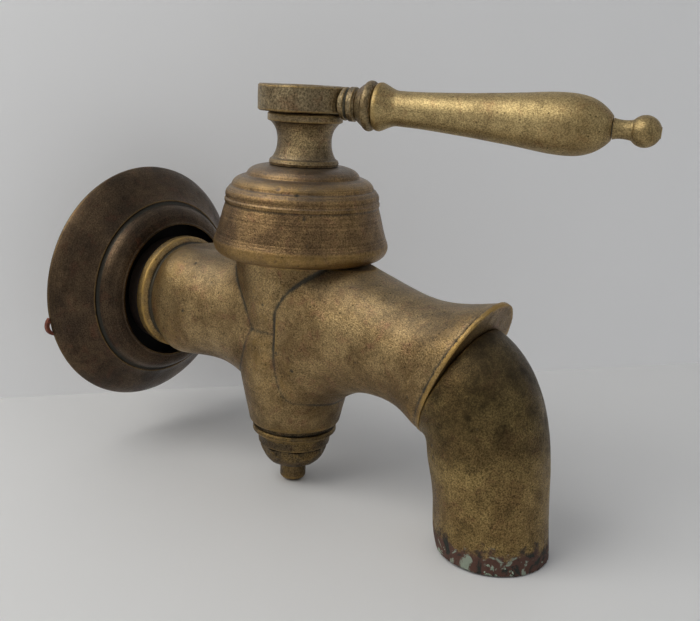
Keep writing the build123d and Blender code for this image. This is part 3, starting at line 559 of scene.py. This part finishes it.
def turned(name, node, turn, step, around, ease=0.3, thread=None):
    """A dense lathe mesh with the node's own outline. A thread is (from, to, pitch, depth) along the axis."""
    origin, axis = turn
    side = Vector((0, 0, 1)) if abs(axis.z) < 0.5 else Vector((0, -1, 0))
    side = (side - axis * side.dot(axis)).normalized()
    other = axis.cross(side)
    points, closed = outline(node, turn)
    points = eased(points, closed, step * MM, ease * MM)
    count = len(points)
    angles = np.linspace(0, 2 * math.pi, around, endpoint=False)
    along = np.repeat(points[:, 0][:, None], around, axis=1)
    out = np.repeat(points[:, 1][:, None], around, axis=1)
    if thread:
        start, end, pitch, depth, outer = [value * MM for value in thread]
        phase = (along / pitch + angles[None, :] / (2 * math.pi)) % 1.0
        fade = np.clip((along - start) / pitch, 0, 1) * np.clip((end - along) / pitch, 0, 1)
        out = out - np.where(out > outer, depth * np.abs(2 * phase - 1) * fade, 0)
    at = (
        np.array(origin)[None, None, :]
        + along[:, :, None] * np.array(axis)
        + (out * np.cos(angles))[:, :, None] * np.array(side)
        + (out * np.sin(angles))[:, :, None] * np.array(other)
    )
    rows = np.arange(count if closed else count - 1)
    low = rows[:, None] * around + np.arange(around)[None, :]
    low_next = rows[:, None] * around + (np.arange(around) + 1)[None, :] % around
    high = ((rows[:, None] + 1) % count) * around + np.arange(around)[None, :]
    high_next = ((rows[:, None] + 1) % count) * around + (np.arange(around) + 1)[None, :] % around
    faces = np.stack([low, low_next, high_next, high], axis=-1).reshape(-1, 4)
    mesh = bpy.data.meshes.new(name)
    mesh.from_pydata(at.reshape(-1, 3).tolist(), [], faces.tolist())
    shell = bmesh.new()
    shell.from_mesh(mesh)
    bmesh.ops.remove_doubles(shell, verts=shell.verts, dist=0.001 * MM)
    bmesh.ops.recalc_face_normals(shell, faces=shell.faces)
    shell.to_mesh(mesh)
    shell.free()
    return link(name, mesh)


def remeshed(name, node, voxel):
    """The node's shape in even small faces with softened edges, drawn back onto the CAD surface."""
    shell = merged(node)
    mesh = bpy.data.meshes.new(name)
    shell.to_mesh(mesh)
    guide = BVHTree.FromBMesh(shell)
    shell.free()
    piece = link(name, mesh)
    remesh = piece.modifiers.new("even_faces", "REMESH")
    remesh.mode = "VOXEL"
    remesh.voxel_size = voxel * MM
    bake_down(piece)
    for vertex in piece.data.vertices:
        spot, _, _, away = guide.find_nearest(vertex.co, 2 * voxel * MM)
        if spot is not None:
            vertex.co = vertex.co.lerp(spot, 0.85)
    return piece


def thinned(piece, triangles):
    """Fewer faces where the surface is plain, down to this many triangles."""
    piece.data.calc_loop_triangles()
    have = len(piece.data.loop_triangles)
    if have > triangles:
        fewer = piece.modifiers.new("fewer", "DECIMATE")
        fewer.ratio = triangles / have
        bake_down(piece)


def mark_edges(piece, passes):
    """Vertex attribute "edge": millimetres a point stands above its smoothed surroundings, below 0 in hollows."""
    mesh = piece.data
    count = len(mesh.vertices)
    places = np.empty(count * 3)
    mesh.vertices.foreach_get("co", places)
    places = places.reshape(-1, 3)
    normals = np.empty(count * 3)
    mesh.vertices.foreach_get("normal", normals)
    pairs = np.empty(len(mesh.edges) * 2, dtype=np.int64)
    mesh.edges.foreach_get("vertices", pairs)
    pairs = pairs.reshape(-1, 2)
    ends = np.concatenate([pairs[:, 0], pairs[:, 1]])
    others = np.concatenate([pairs[:, 1], pairs[:, 0]])
    degree = np.maximum(np.bincount(ends, minlength=count), 1)
    smooth = places.copy()
    for _ in range(passes):
        total = [np.bincount(ends, weights=smooth[others, k], minlength=count) for k in range(3)]
        smooth = 0.4 * smooth + 0.6 * np.stack(total, axis=1) / degree[:, None]
    raised = ((places - smooth) * normals.reshape(-1, 3)).sum(axis=1) / MM
    mark = mesh.attributes.new("edge", "FLOAT", "POINT")
    mark.data.foreach_set("value", raised.astype(np.float32))


def finish(
    piece, node, body, material,
    swell=(0.35, 16.0), grain=(0.10, 2.2), hole=(0.3, 7.0), passes=7, most=190000,
):
    """Surface unevenness, edge marks, smooth shading, attaching to its body and hiding its CAD node, for every
    replaced piece.
    """
    apply_tree(
        piece, FOUNDERS_SURFACE, swell_depth=swell[0] * MM, swell_size=swell[1] * MM,
        grain_depth=grain[0] * MM, grain_size=grain[1] * MM, hole_depth=hole[0] * MM,
        hole_spacing=hole[1] * MM, seed=SEED, material=material)
    thinned(piece, most)
    mark_edges(piece, passes)
    piece.data.shade_smooth()
    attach(piece, body)
    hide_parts(node)
    return piece


# ---------------------------------------------------------------- pieces of the body

finish(
    remeshed("cast_body", "body_casting", 0.7),
    "body_casting", "body", CAST_BRONZE, passes=9)
nozzle = remeshed("cast_nozzle", "spout_nozzle", 0.7)
finish(
    nozzle, "spout_nozzle", "body", NOZZLE_BRONZE,
    swell=(0.45, 13.0), hole=(0.4, 6.0))
finish(
    turned("threaded_tail", "inlet_tailpiece", WALL_TURN, 0.42, 128, thread=(-26.5, 9.6, 2.31, 1.3, 20.5)),
    "inlet_tailpiece", "body", THREAD_BRASS,
    swell=(0.05, 12.0), grain=(0.03, 1.5), hole=(0.0, 7.0))
finish(
    turned("tail_leather", "tail_seal", WALL_TURN, 0.8, 128, ease=0.6),
    "tail_seal", "body", LEATHER, swell=(0.3, 9.0))
finish(
    # near-black disc: painted shade behind the gap in the rosette's hole
    turned("backing_disc", "backing_plate", WALL_TURN, 1.2, 160, ease=0.4),
    "backing_plate", "body", HOLE_SHADE_BLACK, swell=(0.25, 12.0))

# ---------------------------------------------------------------- rosette

finish(
    turned("rosette_plate", "wall_rosette", WALL_TURN, 1.0, 320, ease=0.4),
    "wall_rosette", "rosette", ROSETTE_BRASS, swell=(0.3, 26.0), grain=(0.05, 3.0),
    hole=(0.12, 9.0), passes=5)

# ---------------------------------------------------------------- cap, neck and lever

finish(
    turned("stepped_cap", "dome_cap", PLUG_TURN, 0.9, 260, ease=0.3),
    "dome_cap", "key", CAP_BRONZE, swell=(0.3, 12.0), grain=(0.12, 2.0), hole=(0.25, 6.0))
finish(
    turned("waisted_neck", "neck_column", PLUG_TURN, 0.6, 160, ease=0.35),
    "neck_column", "key", NECK_BRONZE, swell=(0.25, 9.0), grain=(0.12, 1.8))
finish(
    remeshed("lever_eye", "lever_hub", 0.5),
    "lever_hub", "key", HUB_BRONZE, swell=(0.45, 10.0), grain=(0.18, 2.0), hole=(0.35, 5.0))
finish(
    remeshed("eye_screw", "hub_screw", 0.32), "hub_screw", "key", SCREW_BRASS,
    swell=(0.1, 5.0), grain=(0.04, 1.2), hole=(0.0, 5.0))
finish(
    remeshed("lever_neck", "lever_boss", 0.4), "lever_boss", "key", HUB_BRONZE,
    swell=(0.25, 6.0), grain=(0.1, 1.6), hole=(0.15, 5.0))
finish(
    turned("lever_ferrule", "ferrule_ring", LEVER_TURN, 0.4, 120, ease=0.3),
    "ferrule_ring", "key", HUB_BRONZE, swell=(0.25, 8.0), grain=(0.12, 1.6))
finish(
    turned("lever_grip", "grip", LEVER_TURN, 0.8, 110, ease=0.3),
    "grip", "key", GRIP_BRONZE, swell=(0.4, 18.0), grain=(0.06, 1.8), hole=(0.15, 7.0))
finish(
    turned("lever_knob", "end_knob", LEVER_TURN, 0.35, 90, ease=0.25),
    "end_knob", "key", GRIP_BRONZE, swell=(0.2, 5.0), grain=(0.06, 1.5), hole=(0.1, 5.0))

# ---------------------------------------------------------------- below the barrel

finish(
    turned("keyed_washer", "key_washer", PLUG_TURN, 0.5, 160, ease=0.3),
    "key_washer", "key", LOW_BRONZE, swell=(0.3, 7.0), grain=(0.15, 1.6))
finish(
    turned("thrust_ring", "thrust_collar", PLUG_TURN, 0.5, 150, ease=0.4),
    "thrust_collar", "key", LOW_BRONZE, swell=(0.3, 7.0), grain=(0.15, 1.6))
finish(
    remeshed("domed_nut", "plug_nut", 0.45), "plug_nut", "key", LOW_BRONZE,
    swell=(0.9, 6.0), grain=(0.25, 1.8), hole=(0.5, 4.0))
finish(
    remeshed("ground_plug", "plug", 0.6), "plug", "key", PLUG_BRONZE,
    swell=(0.25, 3.5), grain=(0.15, 1.4), hole=(0.0, 5.0))

# ---------------------------------------------------------------- small pieces that keep their CAD mesh

for small, matter in (
    ("stop_pin", STEEL), ("packing_ring", LEATHER), ("lever_tang", STEEL), ("rosette_loop", RUSTY_WIRE)):
    NODES[small].data.materials.clear()
    NODES[small].data.materials.append(matter)

# ---------------------------------------------------------------- verdigris at the mouth

flakes = link("mouth_flakes", nozzle.data.copy())
apply_tree(
    flakes, FLAKE_CRUST, below_height=-70.5 * MM, flakes_per_area=500000.0, flake_size=0.5 * MM,
    seed=FLAKE_SEED, material=VERDIGRIS)
flakes.data.shade_smooth()
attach(flakes, "body")

# ---------------------------------------------------------------- table, wall, light and camera

FLOOR_TILT = math.radians(1.62)  # the tap stands on its stud and its mouth, so its own frame leans a little
FLOOR_Z = -79.5 * MM
WALL_FOOT = Vector((-98.4, -29.7, -85.3)) * MM
WALL_BEARING = math.radians(51.1)


def paper(name, shade, other):
    """Matt painted board, very faintly uneven."""
    material = bpy.data.materials.new(name)
    material.use_nodes = True
    tree = material.node_tree
    tree.nodes.clear()
    where = add(tree, "ShaderNodeTexCoord").outputs["Object"]
    patch = add(tree, "ShaderNodeTexNoise", {"Vector": where, "Scale": per_mm(120.0), "Detail": 2.0})
    tone = add(tree, "ShaderNodeMix", {
        0: patch.outputs["Fac"], 6: linear(shade), 7: linear(other)}, data_type="RGBA")
    surface = add(tree, "ShaderNodeBsdfPrincipled", {"Base Color": tone.outputs[2], "Roughness": 0.55})
    output = add(tree, "ShaderNodeOutputMaterial")
    tree.links.new(surface.outputs[0], output.inputs[0])
    return tree, surface, output, material


def board(name, corners, material):
    """A flat stage panel from its corners."""
    mesh = bpy.data.meshes.new(name)
    mesh.from_pydata([tuple(c) for c in corners], [], [tuple(range(len(corners)))])
    mesh.materials.append(material)
    panel = link(name, mesh)
    return panel


*_, TABLE_PAINT = paper("matt_table_paint", "#dcdcdc", "#e2e2e2")
wall_tree, wall_surface, wall_output, WALL_PAINT = paper("matt_wall_paint", "#f6f6f7", "#fbfbfc")
# the wall is seen through from behind, so that the tap's back can be looked at
behind = add(wall_tree, "ShaderNodeNewGeometry")
clear = add(wall_tree, "ShaderNodeBsdfTransparent")
one_sided = add(wall_tree, "ShaderNodeMixShader", {
    0: behind.outputs["Backfacing"], 1: wall_surface.outputs[0], 2: clear.outputs[0]})
wall_tree.links.new(one_sided.outputs[0], wall_output.inputs[0])

HALF = 3.0
slope = math.tan(FLOOR_TILT)
board("table_top", [
    (x, y, FLOOR_Z + (x - PLUG_X) * slope)
    for x, y in ((-HALF, -HALF), (HALF, -HALF), (HALF, HALF), (-HALF, HALF))], TABLE_PAINT)
run = Vector((math.cos(WALL_BEARING), math.sin(WALL_BEARING), 0))
foot_a = WALL_FOOT - run * 0.35 - UP * 0.05
foot_b = WALL_FOOT + run * 1.4 - UP * 0.05
board("wall_panel", [foot_a, foot_b, foot_b + UP * 1.1, foot_a + UP * 1.1], WALL_PAINT)

TARGET = Vector((127.6, 15.3, 6.2)) * MM
EYE = Vector((372.6, -311.4, 113.3)) * MM


def soft_light(name, offset, width, tall, power, colour):
    """An area light aimed at the tap from an offset in metres."""
    lamp = bpy.data.lights.new(name, "AREA")
    lamp.shape = "RECTANGLE"
    lamp.size = width
    lamp.size_y = tall
    lamp.energy = power
    lamp.color = linear(colour)[:3]
    holder = bpy.data.objects.new(name, lamp)
    bpy.context.scene.collection.objects.link(holder)
    holder.location = TARGET + Vector(offset)
    holder.rotation_euler = (-Vector(offset)).to_track_quat("-Z", "Y").to_euler()


soft_light("key_softbox", (-0.44, -0.78, 0.95), 1.0, 1.0, 10.2, "#fffdf8")
soft_light("fill_softbox", (0.95, -0.10, 0.55), 0.7, 0.9, 0.5, "#f4f8ff")
world = bpy.data.worlds.new("soft_room")
bpy.context.scene.world = world
world.use_nodes = True
world.node_tree.nodes["Background"].inputs[0].default_value = linear("#f2f4f6")
world.node_tree.nodes["Background"].inputs[1].default_value = 0.38
bpy.context.scene.view_settings.view_transform = "Standard"

ROLL = math.radians(2.89)
ahead = (TARGET - EYE).normalized()
right = ahead.cross(UP).normalized()
above = right.cross(ahead)
right_rolled = right * math.cos(ROLL) + above * math.sin(ROLL)
above_rolled = above * math.cos(ROLL) - right * math.sin(ROLL)
lens = bpy.data.cameras.new("studio_camera")
lens.lens = 46.3
lens.sensor_width = 36.0
lens.clip_start = 0.01
camera = bpy.data.objects.new("studio_camera", lens)
bpy.context.scene.collection.objects.link(camera)
turn_to = Matrix((right_rolled, above_rolled, -ahead)).transposed().to_4x4()
camera.matrix_world = Matrix.Translation(EYE) @ turn_to
bpy.context.scene.camera = camera
